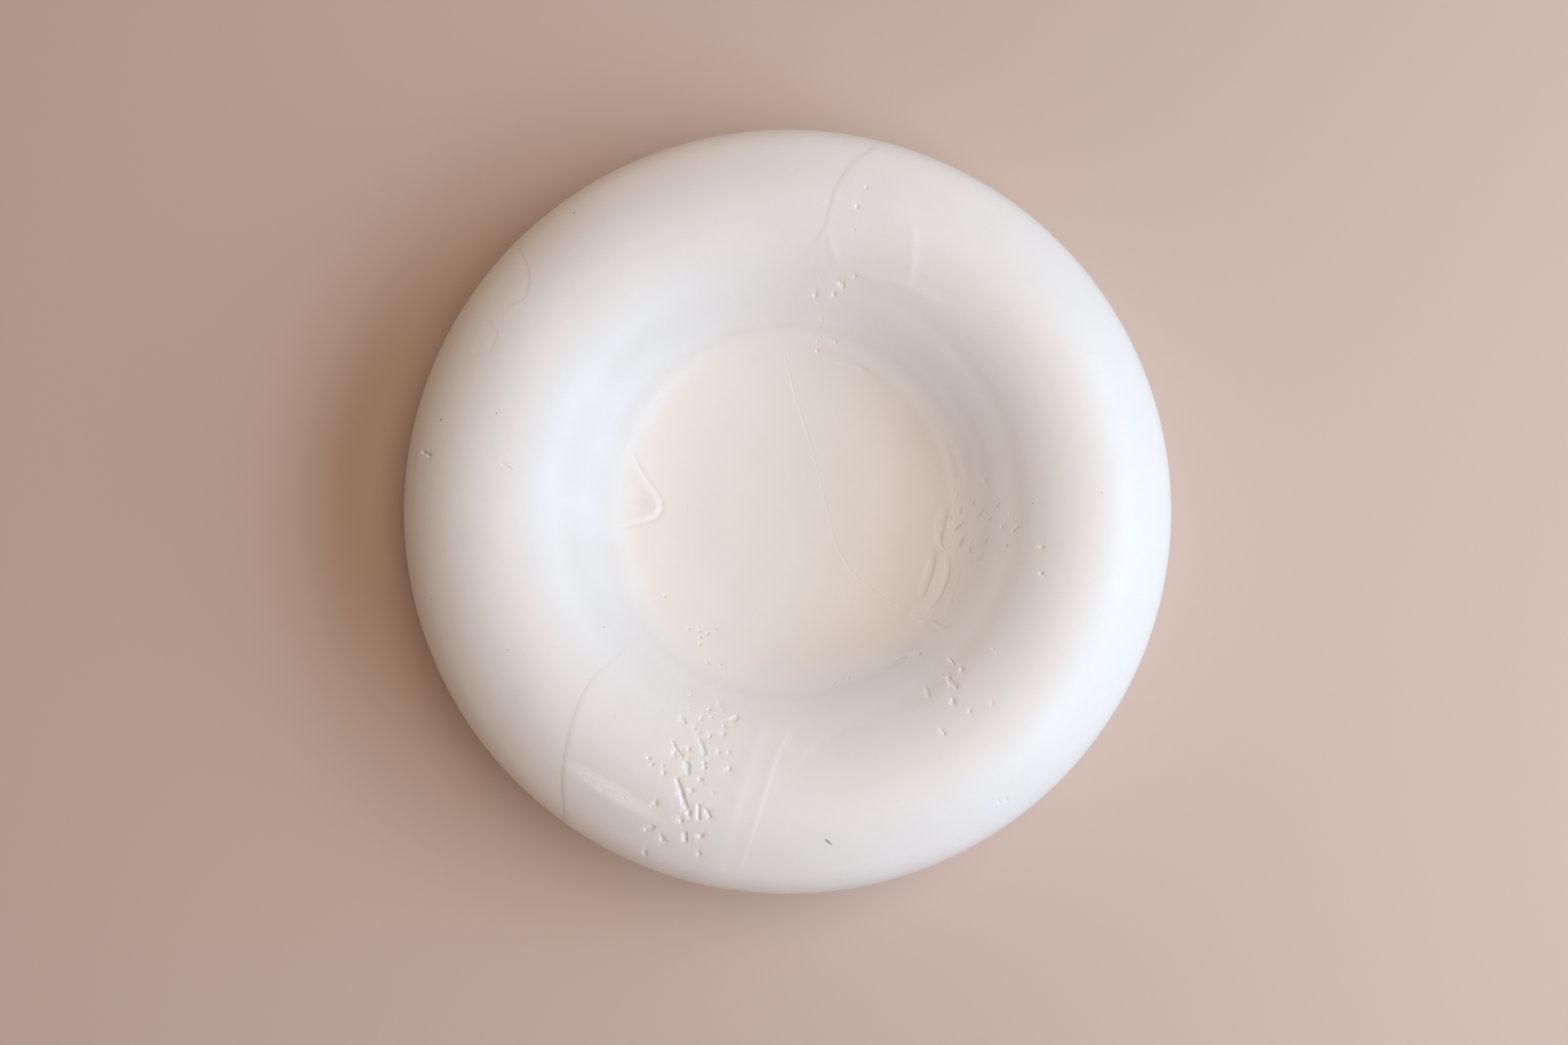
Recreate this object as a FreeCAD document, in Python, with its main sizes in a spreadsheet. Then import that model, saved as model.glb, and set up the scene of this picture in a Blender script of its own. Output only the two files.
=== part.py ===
import FreeCAD, Part

# A heavy plaster slump mold: a fat rounded rim around a shallow dished well.
# It is cast upside down in layers. A fine face layer comes first, then wire hoops
# and jute scrim, then a coarser backing, and at last two poured coats of white slip
# that overlap in a band across the mold. Everything is turned about the Z axis.
# Origin: centre of the flat base. +Z points up, out of the well.

import math
import os

import Sketcher

DOCUMENT = FreeCAD.newDocument("PlasterMold")
SHEET = DOCUMENT.addObject("Spreadsheet::Sheet", "Sizes")

# Driving dimensions, in millimetres and degrees.
SIZES = (
    ("outer_radius", 140.0),  # widest radius, at the rim's equator
    ("crest_radius", 109.0),  # radius of the rim's highest circle
    ("total_height", 66.0),  # height of the crest over the base, where one coat covers it
    ("equator_height", 42.0),  # height of the widest circle
    ("side_arc", 20.0),  # section radius of the rim's outer side, over the equator
    ("under_arc", 58.0),  # section radius of the rim's side, under the equator
    ("crest_arc", 51.0),  # section radius of the crest, on the well's side
    ("slope_angle", 28.0),  # steepness of the well's side
    ("cove_arc", 93.0),  # section radius between the well's side and its floor
    ("floor_arc", 270.0),  # section radius of the dished floor
    ("floor_height", 37.8),  # height of the floor's centre
    ("crease_radius", 61.5),  # joint between the floor's face and the rim's face
    ("seat_radius", 76.0),  # joint between the floor's backing and the rim's core
    ("coat_thickness", 1.2),
    ("face_thickness", 9.0),
    ("scrim_thickness", 1.2),
    ("hoop_wire_radius", 2.0),
    ("coat_foot_height", 3.0),  # the coats stop this far over the base
    ("first_edge_angle", 74.9),  # direction of the first coat's edge, from +X
    ("first_edge_offset", 18.0),  # distance of that edge from the axis, towards +X
    ("second_edge_angle", 63.8),
    ("second_edge_offset", -37.3),
    ("lap_bond", 1.5),  # the lap's strip runs this far on over the second coat
)
for row, (alias, value) in enumerate(SIZES, start=1):
    cell = f"B{row}"
    SHEET.set(f"A{row}", alias.replace("_", " "))
    SHEET.set(cell, str(value))
    SHEET.setAlias(cell, alias)
DOCUMENT.recompute()

# Depth of each layer's top surface under the finished surface.
LAP = "-Sizes.coat_thickness"
FINISHED = "0"
PLASTER = "Sizes.coat_thickness"
FACE_BACK = "(Sizes.coat_thickness + Sizes.face_thickness)"
SCRIM_BACK = "(Sizes.coat_thickness + Sizes.face_thickness + Sizes.scrim_thickness)"

# The outline's stretches in order, from the axis out over the crest and down.
STRETCHES = ("floor", "low_cove", "high_cove", "low_slope", "high_slope",
             "inner_crest", "outer_crest", "side", "under")
CONCAVE = ("floor", "low_cove", "high_cove")
SPAN = "(Sizes.outer_radius * 4)"  # wider than the whole mold
UP = FreeCAD.Vector(0, 0, 1)
ORIGIN = (-1, 1)
HORIZONTAL_AXIS = -1
VERTICAL_AXIS = -2
START = 1
END = 2
CENTRE = 3


def size(alias):
    """A driving dimension's value."""
    return float(SHEET.get(alias))


def depth_value(expression):
    """The number that a layer's depth expression stands for."""
    coat = size("coat_thickness")
    face_back = coat + size("face_thickness")
    depths = {LAP: -coat, FINISHED: 0.0, PLASTER: coat, FACE_BACK: face_back,
              SCRIM_BACK: face_back + size("scrim_thickness")}
    return depths[expression]


def point(x, z):
    """A point of the section, in the sketch's own plane."""
    return FreeCAD.Vector(x, z, 0)


def outline_centres():
    """The centres of the outline's arcs, which every layer shares."""
    slope = math.radians(size("slope_angle"))
    along = point(math.cos(slope), math.sin(slope))
    outward = point(-math.sin(slope), math.cos(slope))
    inner_crest = point(size("crest_radius"), size("total_height") - size("crest_arc"))
    floor = point(0, size("floor_height") + size("floor_arc"))
    # The cove's centre lies on a line beside the slope, and near the floor's centre.
    base = inner_crest + outward * (size("crest_arc") + size("cove_arc"))
    gap = size("floor_arc") - size("cove_arc")
    half = along.dot(base - floor)
    reach = half * half - (base - floor).dot(base - floor) + gap * gap
    cove = base - along * (half + math.sqrt(reach))
    side = point(size("outer_radius") - size("side_arc"), size("equator_height"))
    across = side.x - size("crest_radius")
    rise = size("total_height") - size("equator_height")
    crest_reach = (across**2 + rise**2 - size("side_arc")**2) / (2 * (rise - size("side_arc")))
    outer_crest = point(size("crest_radius"), size("total_height") - crest_reach)
    under = point(size("outer_radius") - size("under_arc"), size("equator_height"))
    return {"floor": floor, "low_cove": cove, "high_cove": cove, "inner_crest": inner_crest,
            "outer_crest": outer_crest, "side": side, "under": under}


def outline_points(depth, foot):
    """The ends of the outline's stretches at a depth, from the axis to the foot."""
    centres = outline_centres()
    slope = math.radians(size("slope_angle"))
    outward = point(-math.sin(slope), math.cos(slope))
    floor, cove, side = centres["floor"], centres["low_cove"], centres["side"]
    cove_reach = size("cove_arc") + depth
    crease = size("crease_radius")
    crease_drop = math.sqrt(cove_reach**2 - (crease - cove.x)**2)
    slope_foot = cove - outward * cove_reach
    seat = size("seat_radius")
    seat_height = slope_foot.y + (seat - slope_foot.x) * math.tan(slope)
    towards_side = (side - centres["outer_crest"]).normalize()
    under_reach = size("under_arc") - depth
    foot_reach = math.sqrt(under_reach**2 - (size("equator_height") - foot)**2)
    return [
        point(0, size("floor_height") - depth),
        floor + (cove - floor).normalize() * (size("floor_arc") + depth),
        point(crease, cove.y - crease_drop),
        slope_foot,
        point(seat, seat_height),
        centres["inner_crest"] + outward * (size("crest_arc") - depth),
        point(size("crest_radius"), size("total_height") - depth),
        side + towards_side * (size("side_arc") - depth),
        point(size("outer_radius") - depth, size("equator_height")),
        point(centres["under"].x + foot_reach, foot),
    ]


class Outline:
    """One layer's outline in a section sketch, tied to the spreadsheet's cells."""

    def __init__(self, sketch, depth, first="floor", last="under", foot="0"):
        self.sketch = sketch
        self.depth = depth
        self.first = STRETCHES.index(first)
        self.last = STRETCHES.index(last)
        foot_value = size("coat_foot_height") if foot != "0" else 0.0
        self.points = outline_points(depth_value(depth), foot_value)
        self.centres = outline_centres()
        self.index = {}
        for number, name in enumerate(STRETCHES):
            shape = self.stretch(name, self.points[number], self.points[number + 1])
            helper = not self.first <= number <= self.last
            self.index[name] = sketch.addGeometry(shape, helper)
        self.join()
        self.locate(foot)

    def stretch(self, name, inner, outer):
        """One stretch of the outline: an arc about its centre, or the straight slope."""
        if name not in self.centres:
            return Part.LineSegment(inner, outer)
        centre = self.centres[name]
        ends = (inner, outer) if name in CONCAVE else (outer, inner)
        angles = [math.atan2(end.y - centre.y, end.x - centre.x) for end in ends]
        circle = Part.Circle(centre, UP, centre.distanceToPoint(inner))
        return Part.ArcOfCircle(circle, angles[0], angles[1])

    def inner_end(self, name):
        """The end of a stretch that is nearer to the axis."""
        backwards = name in self.centres and name not in CONCAVE
        return (self.index[name], END if backwards else START)

    def outer_end(self, name):
        """The end of a stretch that is nearer to the foot."""
        backwards = name in self.centres and name not in CONCAVE
        return (self.index[name], START if backwards else END)

    def inner_point(self, name):
        """The planned position of a stretch's inner end."""
        return self.points[STRETCHES.index(name)]

    def centre(self, name):
        """The centre of a stretch that is an arc."""
        return (self.index[name], CENTRE)

    def start(self):
        """Where the drawn part of the outline begins."""
        return self.inner_end(STRETCHES[self.first])

    def finish(self):
        """Where the drawn part of the outline ends."""
        return self.outer_end(STRETCHES[self.last])

    def drive(self, kind, places, value, expression):
        """Add a dimension and bind it to the spreadsheet."""
        number = self.sketch.addConstraint(Sketcher.Constraint(kind, *places, value))
        self.sketch.setExpression(f"Constraints[{number}]", expression)

    def join(self):
        """Every stretch runs smoothly into the next one."""
        for inner, outer in zip(STRETCHES, STRETCHES[1:]):
            ends = (*self.outer_end(inner), *self.inner_end(outer))
            if inner in ("inner_crest", "low_cove", "side", "low_slope"):
                self.sketch.addConstraint(Sketcher.Constraint("Coincident", *ends))
            else:
                self.sketch.addConstraint(Sketcher.Constraint("Tangent", *ends))
        same_cove = (*self.centre("low_cove"), *self.centre("high_cove"))
        self.sketch.addConstraint(Sketcher.Constraint("Coincident", *same_cove))
        slopes = (self.index["low_slope"], self.index["high_slope"])
        self.sketch.addConstraint(Sketcher.Constraint("Parallel", *slopes))

    def locate(self, foot):
        """Tie the outline's arcs and joints to the driving dimensions."""
        sketch = self.sketch
        depth = self.depth
        crest = self.inner_end("outer_crest")
        equator = self.inner_end("under")
        for name, radius, sign in (("floor", "floor_arc", "+"), ("low_cove", "cove_arc", "+"),
                                   ("inner_crest", "crest_arc", "-"), ("side", "side_arc", "-"),
                                   ("under", "under_arc", "-")):
            arc = sketch.Geometry[self.index[name]]
            self.drive("Radius", (self.index[name],), arc.Radius, f"Sizes.{radius} {sign} {depth}")
        self.drive("DistanceX", (*ORIGIN, *crest), size("crest_radius"), "Sizes.crest_radius")
        self.drive("DistanceY", (*ORIGIN, *crest), self.inner_point("outer_crest").y,
                   f"Sizes.total_height - {depth}")
        self.drive("DistanceX", (*ORIGIN, *self.outer_end("low_cove")), size("crease_radius"),
                   "Sizes.crease_radius")
        self.drive("DistanceX", (*ORIGIN, *self.outer_end("low_slope")), size("seat_radius"),
                   "Sizes.seat_radius")
        self.drive("DistanceX", (*ORIGIN, *equator), self.inner_point("under").x,
                   f"Sizes.outer_radius - {depth}")
        self.drive("DistanceY", (*ORIGIN, *equator), size("equator_height"), "Sizes.equator_height")
        self.drive("DistanceY", (*ORIGIN, *self.centre("floor")), self.centres["floor"].y,
                   "Sizes.floor_height + Sizes.floor_arc")
        slope = (HORIZONTAL_AXIS, self.index["low_slope"])
        self.drive("Angle", slope, math.radians(size("slope_angle")), "Sizes.slope_angle * 1 deg")
        for name in ("inner_crest", "outer_crest"):
            sketch.addConstraint(Sketcher.Constraint("Vertical", *self.centre(name), *crest))
        for name in ("side", "under"):
            sketch.addConstraint(Sketcher.Constraint("Horizontal", *self.centre(name), *equator))
        for place in (self.centre("floor"), self.inner_end("floor")):
            sketch.addConstraint(Sketcher.Constraint("PointOnObject", *place, VERTICAL_AXIS))
        if foot == "0":
            floor_line = (*self.outer_end("under"), HORIZONTAL_AXIS)
            sketch.addConstraint(Sketcher.Constraint("PointOnObject", *floor_line))
        else:
            self.drive("DistanceY", (*ORIGIN, *self.outer_end("under")), size("coat_foot_height"), foot)


def close_with(sketch, *places):
    """Straight lines from place to place, each place being a geometry and one of its ends."""
    ends = [sketch.getPoint(*place) for place in places]
    for here, there, start, finish in zip(places, places[1:], ends, ends[1:]):
        line = sketch.addGeometry(Part.LineSegment(start, finish))
        sketch.addConstraint(Sketcher.Constraint("Coincident", line, START, *here))
        sketch.addConstraint(Sketcher.Constraint("Coincident", line, END, *there))


def new_body(label):
    """A body with an empty section sketch in its own upright plane."""
    body = DOCUMENT.addObject("PartDesign::Body", label)
    body.Label = label
    return body, section_sketch(body, "section")


def section_sketch(body, name):
    """A sketch in the body's upright plane, where X is the radius and Y the height."""
    sketch = body.newObject("Sketcher::SketchObject", f"{body.Name}_{name}")
    upright = [plane for plane in body.Origin.OriginFeatures if plane.Role == "XZ_Plane"][0]
    sketch.AttachmentSupport = [(upright, "")]
    sketch.MapMode = "FlatFace"
    return sketch


def turn(body, sketch, kind="PartDesign::Revolution"):
    """Turn a section all the way round the axis, to add or to remove material."""
    feature = body.newObject(kind, f"{body.Name}_{kind.split('::')[1].lower()}")
    feature.Profile = sketch
    feature.ReferenceAxis = (sketch, ["V_Axis"])
    feature.Angle = 360
    body.Tip = feature
    return feature


def layer(label, top, bottom, first="floor", last="under", foot="0"):
    """A turned layer between two depths under the finished surface."""
    body, sketch = new_body(label)
    upper = Outline(sketch, top, first, last, foot)
    lower = Outline(sketch, bottom, first, last, foot)
    close_with(sketch, upper.start(), lower.start())
    close_with(sketch, upper.finish(), lower.finish())
    turn(body, sketch)
    return body


def base_corner(sketch, x, expression):
    """A fixed place on the base plane for a section's corner, at a bound radius."""
    spot = sketch.addGeometry(Part.Point(point(x, 0)))
    sketch.addConstraint(Sketcher.Constraint("PointOnObject", spot, START, HORIZONTAL_AXIS))
    if expression == "0":
        sketch.addConstraint(Sketcher.Constraint("PointOnObject", spot, START, VERTICAL_AXIS))
    else:
        number = sketch.addConstraint(Sketcher.Constraint("DistanceX", *ORIGIN, spot, START, x))
        sketch.setExpression(f"Constraints[{number}]", expression)
    return (spot, START)


def hoop_grooves(body):
    """Cut the two round grooves that the wire hoops lie in."""
    sketch = section_sketch(body, "grooves")
    for x, x_cell, z, z_cell in hoop_places():
        circle = Part.Circle(point(x, z), UP, size("hoop_wire_radius"))
        number = sketch.addGeometry(circle)
        for kind, places, value, expression in (
            ("DistanceX", (*ORIGIN, number, CENTRE), x, x_cell),
            ("DistanceY", (*ORIGIN, number, CENTRE), z, z_cell),
            ("Radius", (number,), size("hoop_wire_radius"), "Sizes.hoop_wire_radius"),
        ):
            driven = sketch.addConstraint(Sketcher.Constraint(kind, *places, value))
            sketch.setExpression(f"Constraints[{driven}]", expression)
    turn(body, sketch, "PartDesign::Groove")


def hoop_places():
    """Each hoop's ring radius and height: under the crest, and inside the equator."""
    inset = depth_value(FACE_BACK)
    return (
        (size("crest_radius"), "Sizes.crest_radius",
         size("total_height") - inset, f"Sizes.total_height - {FACE_BACK}"),
        (size("outer_radius") - inset, f"Sizes.outer_radius - {FACE_BACK}",
         size("equator_height"), "Sizes.equator_height"),
    )


def make_hoop(label, place):
    """A wire hoop, half sunk in the face layer and half in the core."""
    hoop = DOCUMENT.addObject("Part::Torus", label)
    hoop.Label = label
    hoop.setExpression("Radius1", f"({place[1]}) * 1 mm")
    hoop.setExpression("Radius2", "Sizes.hoop_wire_radius * 1 mm")
    hoop.setExpression("Placement.Base.z", f"({place[3]}) * 1 mm")
    return hoop


def half_space(name, edge, side, extra="0"):
    """A block that fills the space on one side of a coat's straight edge.

    The edge runs at its own angle in plan, at its own distance from the axis."""
    block = DOCUMENT.addObject("Part::Box", name)
    block.Placement.Rotation = FreeCAD.Rotation(UP, 1)
    angle = f"(Sizes.{edge}_edge_angle * 1 deg)"
    near = f"(Sizes.{edge}_edge_offset + {extra})"
    start = near if side == "right" else f"({near} - {SPAN})"
    for cell in ("Length", "Width", "Height"):
        block.setExpression(cell, f"{SPAN} * 1 mm")
    block.setExpression("Placement.Rotation.Angle", f"{angle} - 90 deg")
    across = {"x": f"sin({angle}) * {start}", "y": f"-cos({angle}) * {start}"}
    ahead = {"x": f"cos({angle}) * {SPAN} / 2", "y": f"sin({angle}) * {SPAN} / 2"}
    for axis in ("x", "y"):
        block.setExpression(f"Placement.Base.{axis}", f"({across[axis]} - {ahead[axis]}) * 1 mm")
    block.setExpression("Placement.Base.z", f"-{SPAN} / 2 * 1 mm")
    return block


def cut(name, base, tool):
    """What is left of one solid after another is taken away."""
    result = DOCUMENT.addObject("Part::Cut", name)
    result.Base = base
    result.Tool = tool
    return result


def make_well_floor():
    """The fine face of the well's floor, a dished disc."""
    return layer("well_floor", PLASTER, FACE_BACK, last="low_cove")


def make_rim_face():
    """The fine face of the rim, from the crease over the crest to the base."""
    body = layer("rim_face", PLASTER, FACE_BACK, first="high_cove")
    hoop_grooves(body)
    return body


def make_floor_scrim():
    """The jute scrim behind the floor, which bridges the joint at the crease."""
    return layer("floor_scrim", FACE_BACK, SCRIM_BACK, last="low_slope")


def make_floor_backing():
    """The coarse plaster under the floor, down to the base."""
    body, sketch = new_body("floor_backing")
    top = Outline(sketch, SCRIM_BACK, last="low_slope")
    outer = base_corner(sketch, size("seat_radius"), "Sizes.seat_radius")
    middle = base_corner(sketch, 0, "0")
    close_with(sketch, top.finish(), outer, middle, top.start())
    turn(body, sketch)
    return body


def make_rim_core():
    """The coarse plaster that fills the rim, down to the base."""
    body, sketch = new_body("rim_core")
    top = Outline(sketch, FACE_BACK, first="high_slope")
    inner = base_corner(sketch, size("seat_radius"), "Sizes.seat_radius")
    close_with(sketch, top.finish(), inner, top.start())
    turn(body, sketch)
    hoop_grooves(body)
    return body


def make_first_coat():
    """The first coat, up to the edge where the mold left the bath."""
    skin = layer("first_skin", FINISHED, PLASTER, foot="Sizes.coat_foot_height")
    coat = cut("first_coat", skin, half_space("first_bare_side", "first", "right"))
    coat.Label = "first_coat"
    return coat


def make_second_coat():
    """The second coat: on the plaster beside the first coat, and on top of it in the lap."""
    skin = layer("second_skin", FINISHED, PLASTER, foot="Sizes.coat_foot_height")
    beside = cut("beside_first", skin, half_space("first_coat_side", "first", "left"))
    raised = layer("lap_skin", LAP, FINISHED, foot="Sizes.coat_foot_height")
    ended = cut("lap_to_bond", raised, half_space("past_lap", "first", "right", "Sizes.lap_bond"))
    lap = cut("lap", ended, half_space("before_lap", "second", "left"))
    coat = DOCUMENT.addObject("Part::Fuse", "second_coat")
    coat.Label = "second_coat"
    coat.Base = beside
    coat.Tool = lap
    return coat


def check(parts):
    """Stop if any object failed, or any piece is not a sound solid."""
    for item in DOCUMENT.Objects:
        if {"Invalid", "Error"} & set(item.State):
            raise RuntimeError(f"{item.Name} failed: {item.State}")
    for part in parts:
        if part.Shape.isNull() or not part.Shape.isValid() or not part.Shape.Solids:
            raise RuntimeError(f"{part.Label} is not a sound solid")


CREST_HOOP, GIRTH_HOOP = hoop_places()
PARTS = (
    make_well_floor(),
    make_rim_face(),
    make_floor_scrim(),
    make_floor_backing(),
    make_rim_core(),
    make_hoop("crest_hoop", CREST_HOOP),
    make_hoop("girth_hoop", GIRTH_HOOP),
    make_first_coat(),
    make_second_coat(),
)
DOCUMENT.recompute()
check(PARTS)
os.makedirs("parts", exist_ok=True)
for part in PARTS:
    part.Shape.exportStep(os.path.join("parts", f"{part.Label}.step"))
    print(part.Label, "volume", round(part.Shape.Volume), "mm3")
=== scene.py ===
# Looks for the plaster slump mold. The two coats of white slip are rebuilt as detailed
# closed shells: lap edges, a drip, wrinkles, pinholes and craters. Lengths on the mold are
# in millimetres, in the frame's own axes, until a mesh is made. Noise, tints by radius,
# bump, the lights and the camera are in metres.

import math

import bpy
import numpy as np
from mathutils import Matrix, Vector
from mathutils.geometry import delaunay_2d_cdt


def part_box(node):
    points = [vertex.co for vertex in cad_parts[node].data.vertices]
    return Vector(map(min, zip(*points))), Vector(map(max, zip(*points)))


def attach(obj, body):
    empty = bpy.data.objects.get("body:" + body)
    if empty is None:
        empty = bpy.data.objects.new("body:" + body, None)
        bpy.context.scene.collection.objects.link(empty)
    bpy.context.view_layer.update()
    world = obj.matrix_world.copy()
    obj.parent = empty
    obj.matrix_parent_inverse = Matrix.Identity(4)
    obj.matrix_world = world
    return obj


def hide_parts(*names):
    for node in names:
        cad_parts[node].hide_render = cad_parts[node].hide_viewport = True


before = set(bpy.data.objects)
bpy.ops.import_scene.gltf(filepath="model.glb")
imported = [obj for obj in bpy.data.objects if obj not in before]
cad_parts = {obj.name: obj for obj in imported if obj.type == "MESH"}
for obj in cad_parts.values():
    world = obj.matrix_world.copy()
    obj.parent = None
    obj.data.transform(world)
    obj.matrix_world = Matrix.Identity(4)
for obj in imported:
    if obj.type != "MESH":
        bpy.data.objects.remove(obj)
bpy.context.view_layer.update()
MM = 0.001


def node_box(node):
    """The lowest and highest corners of a CAD node, in millimetres."""
    low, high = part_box(node)
    return np.array(low) / MM, np.array(high) / MM


# ---------------------------------------------------------------- the finished outline

FIRST_LOW, FIRST_HIGH = node_box("first_coat")
GIRTH_LOW, GIRTH_HIGH = node_box("girth_hoop")
CREST_HIGH = node_box("crest_hoop")[1]
WELL_LOW = node_box("well_floor")[0]
WIRE_RADIUS = (GIRTH_HIGH[2] - GIRTH_LOW[2]) / 2
# Thickness of a coat and of the face plaster under it.
COAT = 1.2
FACE = 9.0
OUTER_RADIUS = -FIRST_LOW[0]
TOTAL_HEIGHT = FIRST_HIGH[2]
FOOT_HEIGHT = FIRST_LOW[2]
EQUATOR_HEIGHT = (GIRTH_LOW[2] + GIRTH_HIGH[2]) / 2
CREST_RADIUS = CREST_HIGH[0] - WIRE_RADIUS
FLOOR_HEIGHT = WELL_LOW[2] + COAT + FACE
# The section: the well's slope in degrees, and the radius of each arc.
SLOPE = 28.0
FLOOR_ARC = 270.0
COVE_ARC = 93.0
CREST_ARC = 51.0
SIDE_ARC = 20.0
UNDER_ARC = 58.0
OUTLINE_STEP = 0.1


def arc(centre, radius, start, end):
    """Points along an arc of the section, between two angles in degrees."""
    count = int(radius * math.radians(abs(end - start)) / OUTLINE_STEP) + 2
    turn = np.radians(np.linspace(start, end, count))
    return np.c_[centre[0] + radius * np.cos(turn), centre[1] + radius * np.sin(turn)]


def outline():
    """The finished surface's section from the axis over the crest to the coats' foot."""
    slope = math.radians(SLOPE)
    along = np.array([math.cos(slope), math.sin(slope)])
    outward = np.array([-math.sin(slope), math.cos(slope)])
    inner_crest = np.array([CREST_RADIUS, TOTAL_HEIGHT - CREST_ARC])
    floor = np.array([0.0, FLOOR_HEIGHT + FLOOR_ARC])
    base = inner_crest + outward * (CREST_ARC + COVE_ARC)
    half = along @ (base - floor)
    apart = (base - floor) @ (base - floor)
    cove = base - along * (half + math.sqrt(half**2 - apart + (FLOOR_ARC - COVE_ARC)**2))
    cove_start = math.degrees(math.atan2(*(cove - floor)[::-1]))
    side = np.array([OUTER_RADIUS - SIDE_ARC, EQUATOR_HEIGHT])
    across = side[0] - CREST_RADIUS
    rise = TOTAL_HEIGHT - EQUATOR_HEIGHT
    reach = (across**2 + rise**2 - SIDE_ARC**2) / (2 * (rise - SIDE_ARC))
    outer_crest = np.array([CREST_RADIUS, TOTAL_HEIGHT - reach])
    side_start = math.degrees(math.atan2(*(side - outer_crest)[::-1]))
    under = (OUTER_RADIUS - UNDER_ARC, EQUATOR_HEIGHT)
    foot = -math.degrees(math.asin((EQUATOR_HEIGHT - FOOT_HEIGHT) / UNDER_ARC))
    return np.concatenate([
        arc(floor, FLOOR_ARC, -90, cove_start),
        arc(cove, COVE_ARC, cove_start, SLOPE - 90),
        arc(inner_crest, CREST_ARC, SLOPE + 90, 90),
        arc(outer_crest, reach, 90, side_start),
        arc(side, SIDE_ARC, side_start, 0),
        arc(under, UNDER_ARC, 0, foot),
    ])


POINTS = outline()
RUN = np.concatenate([[0], np.cumsum(np.hypot(*np.diff(POINTS, axis=0).T))])
ALONG = np.arange(0, RUN[-1], OUTLINE_STEP)
RADIUS = np.interp(ALONG, RUN, POINTS[:, 0])
HEIGHT = np.interp(ALONG, RUN, POINTS[:, 1])
NORMAL_OUT = -np.gradient(HEIGHT, ALONG)
NORMAL_UP = np.gradient(RADIUS, ALONG)
EQUATOR = int(np.argmax(RADIUS))
EQUATOR_ALONG = ALONG[EQUATOR]
FOOT_ALONG = ALONG[-1]


def place(flat, lift):
    """Points on the mold from the unrolled plane, raised by lift along the normal."""
    along = np.hypot(flat[:, 0], flat[:, 1])
    turn = np.arctan2(flat[:, 1], flat[:, 0])
    radius = np.interp(along, ALONG, RADIUS) + lift * np.interp(along, ALONG, NORMAL_OUT)
    height = np.interp(along, ALONG, HEIGHT) + lift * np.interp(along, ALONG, NORMAL_UP)
    return np.c_[radius * np.cos(turn), radius * np.sin(turn), height]


def seen_from_above(flat):
    """Plan position of points in the unrolled plane, and whether each is on the upper side."""
    along = np.hypot(flat[:, 0], flat[:, 1])
    turn = np.arctan2(flat[:, 1], flat[:, 0])
    radius = np.interp(along, ALONG, RADIUS)
    return radius * np.cos(turn), radius * np.sin(turn), along < EQUATOR_ALONG


def smooth(value, start, end):
    """0 before start, 1 after end, and a smooth step between."""
    share = np.clip((value - start) / (end - start), 0, 1)
    return share * share * (3 - 2 * share)


def hump(value, width):
    """A bell of height 1."""
    return np.exp(-(value / width)**2)


# ---------------------------------------------------------------- the coats' edges


EDGE_STEP = 0.4
ROW_STEP = 0.8
# Outside this radius an edge's points are spaced down the side, not in plan.
SIDE_START = 128.0


class LapEdge:
    """The edge of a coat: a straight line in plan with a little drift."""

    def __init__(self, angle, offset, drift):
        self.across = np.array([math.sin(math.radians(angle)), -math.cos(math.radians(angle))])
        self.ahead = np.array([math.cos(math.radians(angle)), math.sin(math.radians(angle))])
        self.offset = offset
        self.drift = np.array(drift)

    def shift(self, ahead):
        """How far the edge lies from the axis, at a distance along it."""
        return self.offset + np.interp(ahead, self.drift[:, 0], self.drift[:, 1])

    def travel(self, x, y):
        """How far along the edge a point is."""
        return x * self.ahead[0] + y * self.ahead[1]

    def distance(self, x, y):
        """Distance from the edge, positive on the side towards +X."""
        return x * self.across[0] + y * self.across[1] - self.shift(self.travel(x, y))

    def half(self, side, inset):
        """Half of the edge in the unrolled plane, from its middle out and down to the foot."""
        ahead = side * np.arange(0, OUTER_RADIUS * 1.1, EDGE_STEP)
        x, y = (np.outer(self.shift(ahead) + inset, self.across) + np.outer(ahead, self.ahead)).T
        radius = np.hypot(x, y)
        turn = np.unwrap(np.arctan2(y, x))
        side_along = ALONG[ALONG > np.interp(SIDE_START, RADIUS[:EQUATOR], ALONG[:EQUATOR])]
        side_along = side_along[::int(ROW_STEP / OUTLINE_STEP)]
        near = radius < SIDE_START
        top_along = np.interp(radius[near], RADIUS[:EQUATOR], ALONG[:EQUATOR])[::2]
        rising = slice(int(np.argmin(radius)), None)
        side_turn = np.interp(np.interp(side_along, ALONG, RADIUS), radius[rising], turn[rising])
        along = np.concatenate([top_along, side_along])
        angle = np.concatenate([turn[near][::2], side_turn])
        return along, angle

    def line(self, inset=0.0, short=0.0):
        """The edge from foot to foot in the unrolled plane, set in to one side."""
        parts = []
        for side in (-1, 1):
            along, angle = self.half(side, inset)
            kept = along < FOOT_ALONG - short if short else along <= FOOT_ALONG
            flat = np.c_[along * np.cos(angle), along * np.sin(angle)][kept]
            parts.append(flat)
        return np.concatenate([parts[0][:0:-1], parts[1]])


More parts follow.
